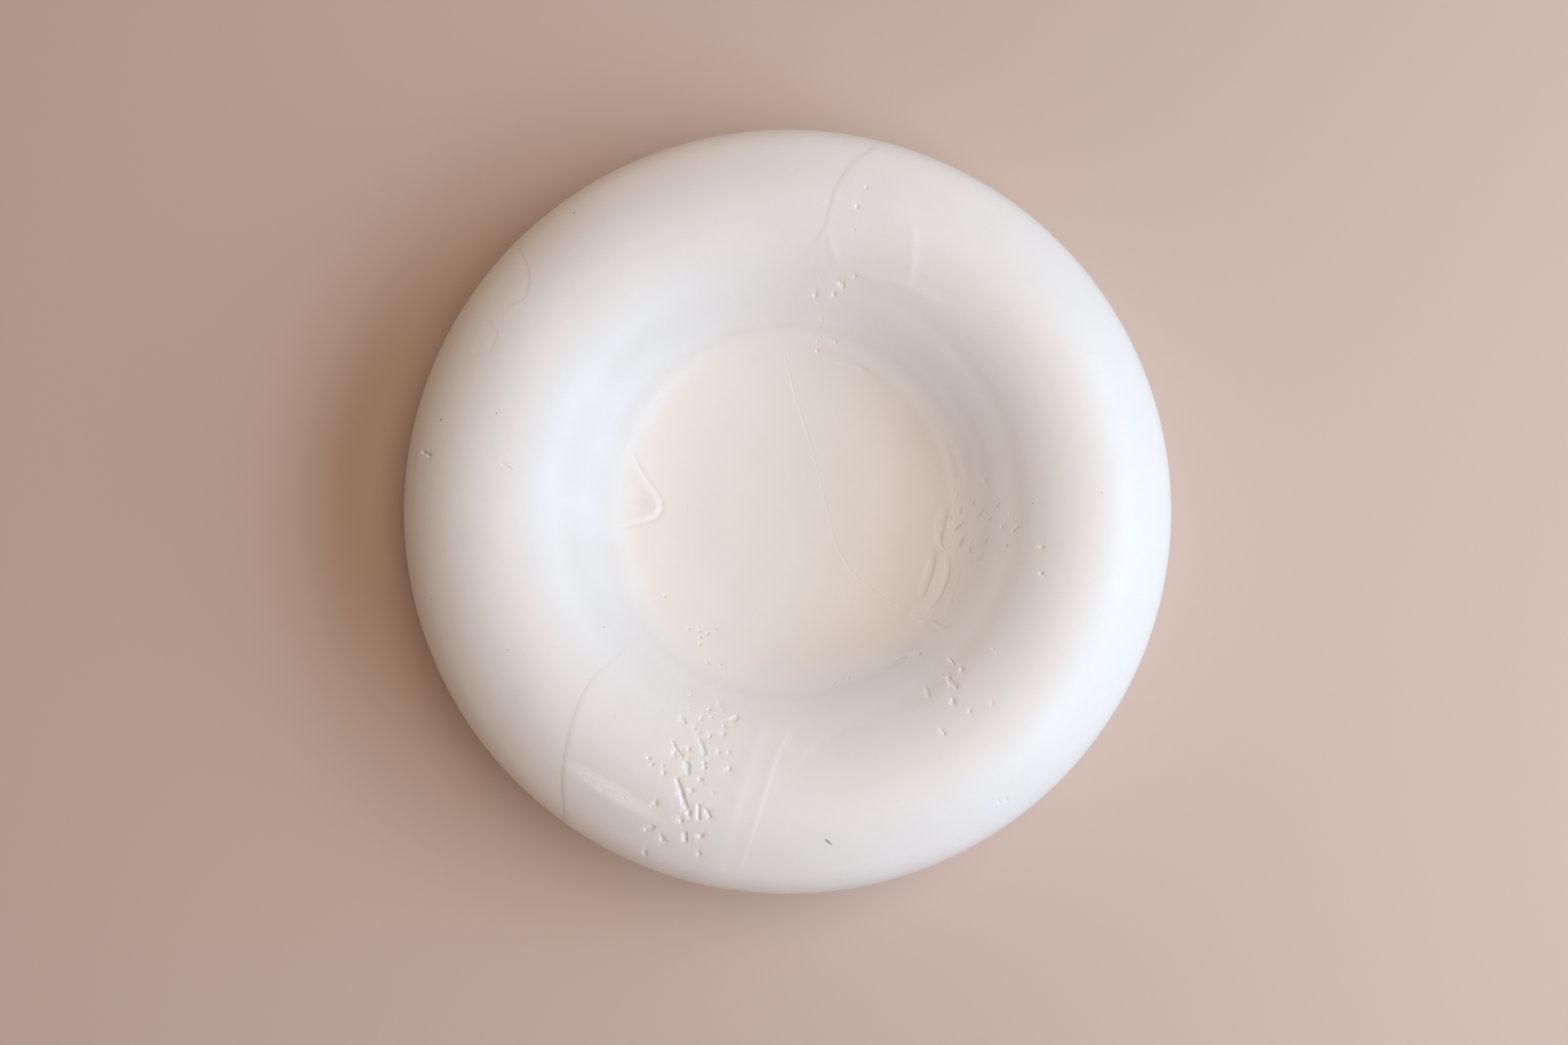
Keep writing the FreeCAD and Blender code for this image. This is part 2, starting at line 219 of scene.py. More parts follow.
# Drift: distance along the edge, and how far the edge strays towards +X there.
FIRST_EDGE = LapEdge(74.9, 18.0, [(-140, -0.3), (-133, 0.1), (-119, 1.0), (-104, 1.8), (-91, 2.1),
                                  (-79, 3.8), (-66, 2.0), (-56, 0), (60, 2), (80, 3.6), (91, 4.4),
                                  (102, 1.9), (113, -1.4), (121, -7.0), (140, -14)])
SECOND_EDGE = LapEdge(63.8, -37.3, [(-140, 17), (-134, 14), (-124, 8.8), (-114, 5.4), (-103, 2.9),
                                    (-94, 2.0), (-86, 2.6), (-76, 6.6), (-66, 10), (-50, 9), (0, 0),
                                    (60, 0), (88, 4), (96, 4.6), (101, 3.4), (109, 1.9),
                                    (115, 2.5), (123, 3.8), (127, 6), (140, 10)])

# ---------------------------------------------------------------- blemishes in the slip

# Round pits: x, y, width, depth.
LAP_PITS = [
    (-34.5, -68.9, 1.2, 0.25), (-43.0, -71.4, 0.6, 0.25), (-34.8, -73.6, 1.0, 0.25),
    (-30.8, -77.2, 1.5, 0.38), (-28.1, -74.1, 1.4, 0.35), (-23.1, -74.3, 1.0, 0.28),
    (-27.1, -76.7, 1.1, 0.31), (-22.8, -79.7, 1.7, 0.45), (-22.7, -82.3, 2.2, 0.43),
    (-27.6, -83.5, 1.6, 0.40), (-31.4, -82.1, 1.1, 0.38), (-33.1, -80.7, 2.0, 0.25),
    (-34.9, -87.9, 1.8, 0.47), (-24.5, -89.0, 2.1, 0.30), (-20.9, -89.0, 1.5, 0.35),
    (-20.5, -94.8, 2.0, 0.45), (-29.3, -92.7, 1.5, 0.43), (-29.3, -94.3, 1.7, 0.47),
    (-39.8, -89.5, 3.2, 0.43), (-37.3, -89.9, 1.2, 0.45), (-48.9, -91.0, 1.3, 0.38),
    (-47.8, -93.1, 1.3, 0.35), (-43.8, -93.6, 1.0, 0.28), (-43.5, -96.2, 1.5, 0.43),
    (-30.8, -98.5, 1.8, 0.47), (-33.7, -102.2, 1.9, 0.47), (-34.7, -110.1, 2.4, 0.58),
    (-46.5, -106.9, 2.5, 0.58), (-37.6, -112.8, 2.4, 0.60), (-44.1, -119.4, 2.5, 0.55),
    (-30.7, -118.1, 2.5, 0.60), (-50.7, -124.2, 1.9, 0.43), (-31.2, -124.5, 2.2, 0.45),
    (-45.6, -74.5, 1.3, 0.12), (-26.3, -103.3, 1.8, 0.10), (-24.3, -72.0, 2.8, 0.18),
]
FAR_PITS = [
    (28.3, 113.1, 1.4, 0.34), (24.9, 106.0, 1.6, 0.38), (23.8, 97.7, 0.6, 0.23),
    (24.3, 81.8, 1.4, 0.32), (16.7, 76.0, 2.2, 0.40), (9.9, 75.8, 2.4, 0.42),
    (11.9, 81.1, 0.9, 0.10), (12.2, 67.8, 1.2, 0.17), (11.0, 60.3, 0.7, 0.21),
    (10.9, 57.1, 1.3, 0.27), (17.4, 59.8, 2.0, 0.21),
]
RIGHT_PITS = [
    (76.8, -8.5, 1.2, 0.16), (79.5, -3.9, 0.6, 0.26),
    (78.2, -15.4, 0.7, 0.31), (65.8, -14.0, 0.8, 0.20), (61.4, 3.7, 1.3, 0.16),
    (71.1, 8.5, 1.3, 0.12), (61.6, -59.7, 1.8, 0.40), (64.1, -74.6, 2.0, 0.29),
    (72.1, -71.5, 2.3, 0.18), (72.8, -52.5, 1.0, 0.18), (47.1, -54.0, 1.0, 0.20),
    (54.4, -61.6, 0.6, 0.18), (89.9, -25.8, 1.7, 0.55), (90.2, -16.5, 1.9, 0.30),
    (16.6, -64.6, 0.8, 0.22), (21.9, -62.9, 0.9, 0.22), (74.8, -106.7, 1.9, 0.30),
    (77.3, -105.6, 1.9, 0.30),
]
FLOOR_PITS = [
    (-35.7, -44.8, 0.8, 0.41), (-31.9, -45.6, 0.8, 0.41), (-31.5, -47.9, 0.7, 0.37),
    (-29.0, -46.4, 0.8, 0.41), (-31.7, -50.5, 0.8, 0.43), (-25.9, -44.9, 0.6, 0.34),
    (-28.8, -57.4, 0.8, 0.34), (-24.0, -57.9, 0.9, 0.34), (-36.9, -0.5, 0.9, 0.08),
    (-26.9, -19.0, 0.8, 0.13), (-50.6, -22.0, 0.9, 0.10), (-46.5, -29.2, 0.8, 0.14),
    (-44.7, -33.1, 0.8, 0.41), (-61.3, -76.1, 0.6, 0.24), (-57.5, -104.8, 0.6, 0.34),
]
# Long pits: from x, y to x, y, then width and depth.
LONG_PITS = [
    (-37.8, -76.3, -36.4, -78.5, 1.4, 0.37), (-31.2, -84.6, -29.2, -89.2, 1.7, 0.43),
    (-40.7, -85.3, -38.0, -89.6, 1.1, 0.35), (-35.8, -92.9, -35.3, -95.4, 2.3, 0.47),
    (-38.7, -98.8, -37.3, -103.4, 1.7, 0.49), (-37.3, -103.4, -35.7, -108.0, 2.1, 0.55),
    (-31.2, -107.8, -31.1, -112.0, 1.4, 0.44), (-28.4, -109.3, -27.4, -111.3, 1.7, 0.47),
    (-36.1, -118.0, -36.0, -119.4, 2.0, 0.50), (-49.7, -115.9, -47.6, -115.0, 1.6, 0.43),
    (-19.6, -77.7, -18.4, -77.1, 2.3, 0.37), (-26.3, -77.9, -23.0, -79.6, 0.4, 0.12),
    (18.9, 79.6, 20.0, 79.1, 1.9, 0.34), (57.7, -56.0, 58.7, -57.3, 1.0, 0.26),
    (57.0, -63.0, 59.2, -65.8, 2.1, 0.34), (49.2, -66.8, 49.9, -69.0, 1.5, 0.20),
    (58.2, -70.5, 58.4, -72.0, 1.7, 0.34), (53.9, -80.8, 55.0, -82.4, 1.0, 0.27),
    (39.7, -55.6, 42.2, -55.1, 0.8, 0.16),
    (-131.0, 18.4, -128.2, 16.8, 1.3, 0.50), (-101.5, 13.1, -98.4, 11.5, 0.6, 0.26),
]
# Long pits at the right of the floor, shallow, with painted shade that greys the slip in them.
SHADE_PAINTED_PITS = [
    (60.3, -9.2, 63.0, -6.6, 1.2, 0.10), (63.4, -12.2, 62.0, -15.0, 1.3, 0.08),
    (65.7, -15.2, 65.8, -17.4, 0.9, 0.05), (70.6, -14.5, 71.9, -12.7, 0.9, 0.05),
    (68.2, -20.2, 70.2, -18.3, 0.9, 0.05), (67.3, 0.9, 66.8, -0.6, 0.9, 0.06),
    (70.3, -2.3, 68.4, -4.6, 0.8, 0.06), (73.1, -5.0, 72.4, -5.8, 0.9, 0.07),
    (80.7, -10.2, 82.3, -8.9, 0.8, 0.16), (75.8, -0.3, 74.9, -1.4, 1.0, 0.10),
    (63.0, -0.8, 62.4, -3.0, 0.9, 0.05), (59.6, -3.6, 58.9, -5.4, 0.9, 0.05),
]
# Wrinkles: the crease's points, how wide its shallow and its steep side are, and its depth.
WRINKLES = [
    ([(58.3, -1.3), (56.8, -6.6), (55.6, -11.0), (55.8, -14.5), (57.4, -17.4)], 1.8, 0.5, 0.13),
    ([(57.9, -0.8), (54.9, -3.6), (53.9, -8.0), (54.8, -12.4), (56.5, -15.8)], 0.5, 1.6, 0.06),
    ([(53.3, -18.0), (52.3, -24.9), (49.9, -31.3), (48.1, -35.0)], 2.4, 0.5, 0.15),
    ([(52.9, -17.6), (49.9, -25.9), (47.6, -34.5)], 0.6, 1.6, 0.07),
    ([(58.5, -19.5), (58.0, -26.0), (55.4, -32.4), (52.3, -36.6)], 1.6, 0.5, 0.14),
    ([(61.9, -24.8), (61.2, -28.4)], 0.9, 0.4, 0.12),
    ([(59.6, -32.4), (58.6, -36.0)], 0.9, 0.4, 0.10),
    ([(46.6, -42.1), (51.9, -42.4), (56.1, -44.2)], 1.1, 0.5, 0.24),
    ([(43.6, -54.1), (48.2, -53.0)], 0.9, 0.5, 0.20),
    ([(34.9, -56.6), (37.4, -57.4), (40.6, -57.0)], 0.9, 0.5, 0.24),
    ([(25.1, 52.0), (30.8, 48.6)], 1.6, 0.6, 0.10),
    ([(3.9, -94.8), (10.3, -86.3), (19.0, -81.1), (35.1, -77.4), (58.4, -75.0)], 2.0, 1.0, 0.05),
    ([(-133.5, 10.5), (-130.1, 7.1), (-125.3, 4.0)], 2.0, 1.0, 0.07),
    ([(-98.0, 93.5), (-93.9, 85.0), (-92.9, 78.5), (-94.9, 73.1), (-102.4, 69.5)], 2.0, 0.6, 0.09),
    ([(-108.8, 66.0), (-104.0, 60.4), (-106.2, 54.4), (-113.8, 52.6)], 2.0, 0.6, 0.06),
]
# A drip that hangs over the floor's left edge: the points round its lip.
TONGUE = [(-62.0, 31.0), (-57.9, 21.6), (-54.6, 14.8), (-51.0, 9.2), (-48.2, 5.6), (-46.3, 2.4),
          (-45.8, -0.6), (-47.2, -3.4), (-50.0, -5.3), (-54.4, -6.4), (-58.6, -7.5), (-66.0, -9.8)]
# A fine line across the floor.
HAIRLINE = [(-1.0, 55.7), (3.0, 40.1), (6.8, 29.1), (12.1, 9.5), (14.8, -2.1), (17.4, -13.3),
            (22.9, -23.3), (32.8, -32.3), (45.7, -39.6)]
# Runs: the ridge's points, its width and its height.
RUNS = [
    ([(57.8, 24.8), (61.6, 14.0), (62.5, 6.3)], 1.1, 0.08),
    ([(14.0, 52.5), (24.0, 49.5)], 0.8, 0.08),
    ([(22.5, 82.6), (28.7, 81.1), (39.0, 78.7), (47.6, 74.5), (56.2, 69.2)], 1.7, 0.20),
    ([(13.0, 99.5), (15.0, 92.5), (18.5, 83.0)], 1.3, 0.07),
]


def nearest(x, y, path):
    """Distance to a path, and which side of it each point is on: positive to its left."""
    best = np.full(x.shape, np.inf)
    side = np.zeros(x.shape)
    for (x0, y0), (x1, y1) in zip(path, path[1:]):
        dx, dy = x1 - x0, y1 - y0
        length = dx * dx + dy * dy
        share = np.clip(((x - x0) * dx + (y - y0) * dy) / length, 0, 1) if length else 0
        distance = np.hypot(x - x0 - share * dx, y - y0 - share * dy)
        closer = distance < best
        best = np.where(closer, distance, best)
        side = np.where(closer, np.sign(dx * (y - y0) - dy * (x - x0)), side)
    return best, side


def all_pits():
    """Every pit as a path, a half width and a depth."""
    for x, y, width, depth in LAP_PITS + FAR_PITS + RIGHT_PITS + FLOOR_PITS:
        yield [(x, y), (x, y)], width / 2, depth
    for x0, y0, x1, y1, width, depth in LONG_PITS + SHADE_PAINTED_PITS:
        yield [(x0, y0), (x1, y1)], width / 2, depth


PITS = list(all_pits())
HAIRLINE_WIDTH = 0.35
HAIRLINE_DEPTH = 0.035
DRIP_TIP = (-48.0, -1.0)
DRIP_TIP_WIDTH = 8.0
DRIP_REACH = 12
# The slip's unevenness: wavelength, height and seed.
UNEVEN = [(46, 0.05, 3), (17, 0.010, 4), (6, 0.0022, 5)]
WAVE_COUNT = 18
# Fine rings on the well's side: pitch, height, and how they wander: wavelength, turn and seed.
RING_PITCH = 5.6
RING_HEIGHT = 0.013
RING_WANDER = (60, 1.2, 6)
# A bead round the floor. It lies further out at the left, and is wider there on its outside.
BEAD_RADIUS = 60.8
BEAD_SHIFT = 2.3
BEAD_WIDTH = 1.9
BEAD_LEFT_WIDTH = 2.2
BEAD_HEIGHT = 0.10
BEAD_LEFT_RISE = 0.09
BEAD_NEAR_DROP = 0.06
# Where the bead stands higher or lower: the change, and the middle and width in degrees.
BEAD_CHANGES = [(0.42, 141, 16), (0.42, 200, 11), (-0.12, 238, 18)]
# Broad rings on the well's side: height, radius and width.
BROAD_RINGS = [(0.10, 75.5, 3.6), (-0.10, 81.5, 3.0)]
# The unevenness of a pit's rim: wavelength, share of its width, and seed.
PIT_RIM = (2.4, 0.16, 7)


def waves(x, y, length, height, seed):
    """Smooth random unevenness of about one wavelength."""
    draw = np.random.default_rng(seed)
    total = np.zeros(x.shape)
    turns = draw.uniform(0, math.tau, WAVE_COUNT)
    phases = draw.uniform(0, math.tau, WAVE_COUNT)
    stretches = draw.uniform(0.7, 1.5, WAVE_COUNT)
    for turn, phase, stretch in zip(turns, phases, stretches):
        pitch = math.tau / (length * stretch)
        total += np.sin(pitch * (x * math.cos(turn) + y * math.sin(turn)) + phase)
    return total * height / math.sqrt(WAVE_COUNT / 2)


def turned_rings(x, y):
    """Rings from the turning: fine ones on the well's side, and a bead round the floor."""
    radius = np.hypot(x, y)
    towards = x / np.maximum(radius, 1)
    leftward = smooth(-towards, 0.4, 0.8)
    nearward = smooth(-y / np.maximum(radius, 1), 0.6, 0.9)
    turn = np.degrees(np.arctan2(y, x)) % 360
    on_side = smooth(radius, 58, 66) * (1 - smooth(radius, 96, 112))
    phase = radius * math.tau / RING_PITCH + waves(x, y, *RING_WANDER)
    lift = RING_HEIGHT * on_side * np.sin(phase)
    bead = BEAD_HEIGHT + BEAD_LEFT_RISE * leftward - BEAD_NEAR_DROP * nearward
    for change, middle, width in BEAD_CHANGES:
        bead += change * hump(turn - middle, width)
    past = radius - BEAD_RADIUS + BEAD_SHIFT * towards
    outer_width = BEAD_WIDTH + BEAD_LEFT_WIDTH * leftward
    lift += bead * hump(past, np.where(past > 0, outer_width, BEAD_WIDTH))
    for height, middle, width in BROAD_RINGS:
        lift += height * hump(radius - middle, width)
    return lift


def near_path(x, y, path, reach):
    """Which points lie near a path, their distance from it and their side of it."""
    box = bounding(x, y, path, reach)
    return (box, *nearest(x[box], y[box], path))


def add_pit(lift, x, y, path, half, depth):
    """Sink a pit: a bowl with a soft, uneven rim."""
    box, distance, side = near_path(x, y, path, 5 * half)
    share = distance / half * (1 + waves(x[box], y[box], *PIT_RIM))
    is_round = path[0] == path[1]
    bowl = hump(share, 0.72) if is_round else 1 / (1 + (share / 0.8)**5)
    lift[box] -= depth * (0.8 * bowl + 0.2 * hump(share, 1.7))


def add_wrinkle(lift, x, y, path, shallow, steep, depth):
    """Sink a wrinkle: a crease with one gentle side, which fades at its ends."""
    box, distance, side = near_path(x, y, path, 3 * shallow)
    ends = 1 - smooth(end_distance(x[box], y[box], path), 0, 3)
    width = np.where(side < 0, shallow, steep)
    lift[box] -= depth * hump(distance, width) * (1 - 0.7 * ends)


def add_drip(lift, x, y):
    """Shape the drip: a groove outside it, a lip round it and a hollow inside."""
    box, distance, side = near_path(x, y, TONGUE, DRIP_REACH)
    inside = -side * distance
    tip = hump(np.hypot(x[box] - DRIP_TIP[0], y[box] - DRIP_TIP[1]), DRIP_TIP_WIDTH)
    groove = 0.18 * hump(inside + 0.1, 0.8)
    lip = (0.05 + 0.16 * tip) * hump(inside - 2.2, 1.1)
    hollow = (0.08 + 0.30 * tip) * smooth(inside, 2.8, 7.0)
    on_floor = 1 - smooth(np.hypot(x[box], y[box]), 54, 65)
    lift[box] += (lip - groove - hollow) * on_floor * (inside > -4)


def add_hairline(lift, x, y):
    """Sink the fine line across the floor."""
    box, distance, side = near_path(x, y, HAIRLINE, 2)
    lift[box] -= HAIRLINE_DEPTH * hump(distance, HAIRLINE_WIDTH)


def add_run(lift, x, y, path, width, height):
    """Raise a run: a low ridge that fades out at its ends."""
    box, distance, side = near_path(x, y, path, 4 * width)
    ends = smooth(end_distance(x[box], y[box], path), 0, 6)
    lift[box] += height * hump(distance - 0.6 * side, width) * ends


def relief(x, y):
    """Height of the slip's own unevenness on the upper side, in plan."""
    lift = np.zeros(x.shape)
    for length, height, seed in UNEVEN:
        lift += waves(x, y, length, height, seed)
    lift += turned_rings(x, y)
    for pit in PITS:
        add_pit(lift, x, y, *pit)
    for wrinkle in WRINKLES:
        add_wrinkle(lift, x, y, *wrinkle)
    add_drip(lift, x, y)
    add_hairline(lift, x, y)
    for run in RUNS:
        add_run(lift, x, y, *run)
    return lift


def bounding(x, y, path, margin):
    """Which points lie in the box around a path."""
    path = np.array(path)
    low, high = path.min(0) - margin, path.max(0) + margin
    return (x > low[0]) & (x < high[0]) & (y > low[1]) & (y < high[1])


def end_distance(x, y, path):
    """How far a path's nearer end is."""
    return np.minimum(*(np.hypot(x - px, y - py) for px, py in (path[0], path[-1])))


# ---------------------------------------------------------------- the coats as shells

# Spacing of the mesh: the least and the most, and what each place asks for.
COARSEST = 6.4
FINEST = 0.2
TOP_SPACING = 1.9
SIDE_SPACING = 4.8
LAP_SPACING = 1.2
BURIED_SPACING = 0.5
RUN_SPACING = 0.8
LINE_SPACING = 0.3
SPACING_GROWTH = 0.4
# How far past the equator the top's spacing goes on.
TOP_REACH = 6
# Where the lap and the buried edge are fine: past the first coat's edge, and along it.
LAP_STRIP = (-12, 3)
LAP_END = -80
BURIED_REACH = 2
BURIED_START = 76
# Cells nearer to the rim than this share of their size are left out.
CELL_CLEARANCE = 0.6
# Rows of points beside each edge: how far in they lie, and how near the rim they may end.
EDGE_ROWS = (0.15, 0.4, 0.8, 1.3)
ROW_TRIM = 0.12
# How far other points stay from those rows, from a crease's rows and from a bare rim.
ROW_CLEARANCE = 0.3
CREASE_CLEARANCE = 0.4
RIM_CLEARANCE = 0.5
# How near to a crease a point counts as on it.
ON_LINE = 0.02
# What Blender's triangulation keeps, and how near two points may be before it joins them.
INSIDE_THE_RIM = 1
MERGE_DISTANCE = 1e-5
# How deep the first coat lies under the second, and how round the coats' foot is.
SUNK = 0.95
FOOT_ROUND = 1.2
# The lap: its height, how wide its edge is, and a faint lip along it: share, place, width.
LAP_HEIGHT = 0.14
LAP_EDGE = 1.6
LAP_LIP = (0.2, 1.9, 1.0)
# Where the lap dies out, by distance from the first coat's edge.
LAP_FADE = (-9, 4)
# How much thinner the second coat is over the first, and where that ends.
THINNER = 0.3
THINNER_FADE = (0.3, 2.5)
# How wide the second coat's thin edge is.
EDGE_TAPER = 2.5
# Distance along the second coat's edge, and how much of the lap's height shows there.
LAP_SHARES = ([-130, -84, -76, -68, -58, 60, 80, 90, 98, 128],
              [1, 1, 0.6, 0.3, 0.04, 0.05, 0.15, 0.5, 0.9, 1.0])
# The same for the first coat's edge, which shows through the second coat.
BURIED_SHARES = ([-135, -124, -84, -74, 80, 90, 104, 116],
                 [0.3, 0.7, 0.85, 0.0, 0.0, 0.65, 0.6, 0.0])
BURIED_SHIFT = 0.8
# A second, fainter line beside the buried edge.
SECOND_LINE_SHIFT = 8.5
SECOND_LINE_SHARE = 0.8
# Between these radii the relief fades out.
RELIEF_FADE = (134, 139)


def lap_height(ahead):
    """How proud the lap stands along the second coat's edge."""
    return LAP_HEIGHT * np.interp(ahead, *LAP_SHARES)


def buried_ridge(x, y):
    """The first coat's edge and a fainter line beside it, seen through the second coat."""
    height = LAP_HEIGHT * np.interp(FIRST_EDGE.travel(x, y), *BURIED_SHARES)
    past = FIRST_EDGE.distance(x, y) + BURIED_SHIFT
    ridge = hump(past, np.where(past < 0, 2.4, np.where(y < 0, 0.8, 1.4)))
    beside = past + SECOND_LINE_SHIFT
    line = SECOND_LINE_SHARE * hump(beside, np.where(beside < 0, 3.2, 1.9)) * (y < 0)
    return height * (ridge + line)


def foot_drop(flat):
    """The coats' rounded foot, as a share of the coat's thickness."""
    near = np.clip((FOOT_ALONG - np.hypot(flat[:, 0], flat[:, 1])) / FOOT_ROUND, 0, 1)
    return 1 - np.sqrt(1 - (1 - near)**2)


def surface_relief(x, y, upper):
    """The relief on the upper side, which fades out before the equator."""
    lift = np.zeros(x.shape)
    lift[upper] = relief(x[upper], y[upper])
    return lift * (1 - smooth(np.hypot(x, y), *RELIEF_FADE))


def first_top(flat):
    """The first coat's top: the finished surface, sunk where the second coat covers it."""
    x, y, upper = seen_from_above(flat)
    covered = SECOND_EDGE.distance(x, y)
    lift = surface_relief(x, y, upper) * (1 - smooth(covered, 0, 1))
    end = smooth(-FIRST_EDGE.distance(x, y), 0, 1)
    lift -= SUNK * smooth(covered, 0, 2) + (COAT - SUNK) * (1 - end)
    return np.maximum(lift - COAT * foot_drop(flat), -COAT)


def first_depth(flat):
    """The first coat's thickness."""
    return COAT + first_top(flat)


def second_top(flat):
    """The second coat's top: the finished surface, a little proud in the lap."""
    x, y, upper = seen_from_above(flat)
    inside = SECOND_EDGE.distance(x, y)
    share, place, width = LAP_LIP
    rise = smooth(inside, 0, LAP_EDGE) + share * hump(inside - place, width) * smooth(inside, 0, 1)
    in_lap = 1 - smooth(FIRST_EDGE.distance(x, y), *LAP_FADE)
    lap = lap_height(SECOND_EDGE.travel(x, y)) * rise * in_lap
    return surface_relief(x, y, upper) + lap + buried_ridge(x, y) - COAT * foot_drop(flat)


def second_depth(flat):
    """The second coat's thickness: thinner over the first coat, and thin at its edge."""
    x, y, upper = seen_from_above(flat)
    in_lap = 1 - smooth(FIRST_EDGE.distance(x, y), *THINNER_FADE)
    full = COAT - THINNER * in_lap
    lap_end = smooth(SECOND_EDGE.distance(x, y), 0, EDGE_TAPER)
    foot = foot_drop(flat)
    return np.maximum((full + second_top(flat) + COAT * foot) * lap_end, 0) * (1 - foot)


def make_finer(size, x, y, shown, path, fine, reach, margin=8):
    """Make the mesh fine within reach of a path, and let it grow coarser further out."""
    box = bounding(x, y, path, margin) & shown
    distance = nearest(x[box], y[box], path)[0]
    size[box] = np.minimum(size[box], fine + SPACING_GROWTH * np.maximum(distance - reach, 0))


def wanted_spacing(flat, shown_until=math.inf):
    """How fine the mesh has to be at points of the unrolled plane.

    Marks further than shown_until past the second coat's edge are hidden and left out.
    """
    x, y, upper = seen_from_above(flat)
    shown = upper & (SECOND_EDGE.distance(x, y) < shown_until)
    near_top = np.hypot(flat[:, 0], flat[:, 1]) < EQUATOR_ALONG + TOP_REACH
    size = np.where(near_top, TOP_SPACING, SIDE_SPACING)
    past = FIRST_EDGE.distance(x, y)
    ahead = FIRST_EDGE.travel(x, y)
    in_strip = (past > LAP_STRIP[0]) & (past < LAP_STRIP[1]) & (ahead < LAP_END)
    size[shown & in_strip] = LAP_SPACING
    on_buried = (np.abs(past + BURIED_SHIFT) < BURIED_REACH) & (np.abs(ahead) > BURIED_START)
    size[shown & on_buried] = BURIED_SPACING
    for path, half, depth in PITS:
        make_finer(size, x, y, shown, path, max(half / 3.5, FINEST), 1.6 * half, 6)
    for path, shallow, steep, depth in WRINKLES:
        make_finer(size, x, y, shown, path, steep / 2, 2 * steep)
    for path, width, height in RUNS:
        make_finer(size, x, y, shown, path, RUN_SPACING, 2.5)
    make_finer(size, x, y, shown, TONGUE, LINE_SPACING, 0.8)
    make_finer(size, x, y, shown, HAIRLINE, LINE_SPACING, 0.3)
    return size


def cells(spacing, reach):
    """Centres of square cells, each quartered until it is as small as the spacing asks."""
    count = math.ceil(reach / COARSEST)
    grid = (np.arange(-count, count) + 0.5) * COARSEST
    flat = np.stack(np.meshgrid(grid, grid), -1).reshape(-1, 2)
    size = COARSEST
    done = []
    while len(flat):
        split = (size > spacing(flat)) & (size > FINEST)
        done.append(flat[~split])
        corners = [(a * size / 4, b * size / 4) for a in (-1, 1) for b in (-1, 1)]
        flat = np.concatenate([flat[split] + corner for corner in corners])
        size /= 2
    return np.concatenate(done)


def foot_row(start, end, inset=0.0):
    """The coats' foot in the unrolled plane, from one turn to another."""
    along = FOOT_ALONG - inset
    count = int(abs(end - start) * along / 2)
    turn = np.linspace(start, end, count)[1:-1]
    return np.c_[along * np.cos(turn), along * np.sin(turn)]


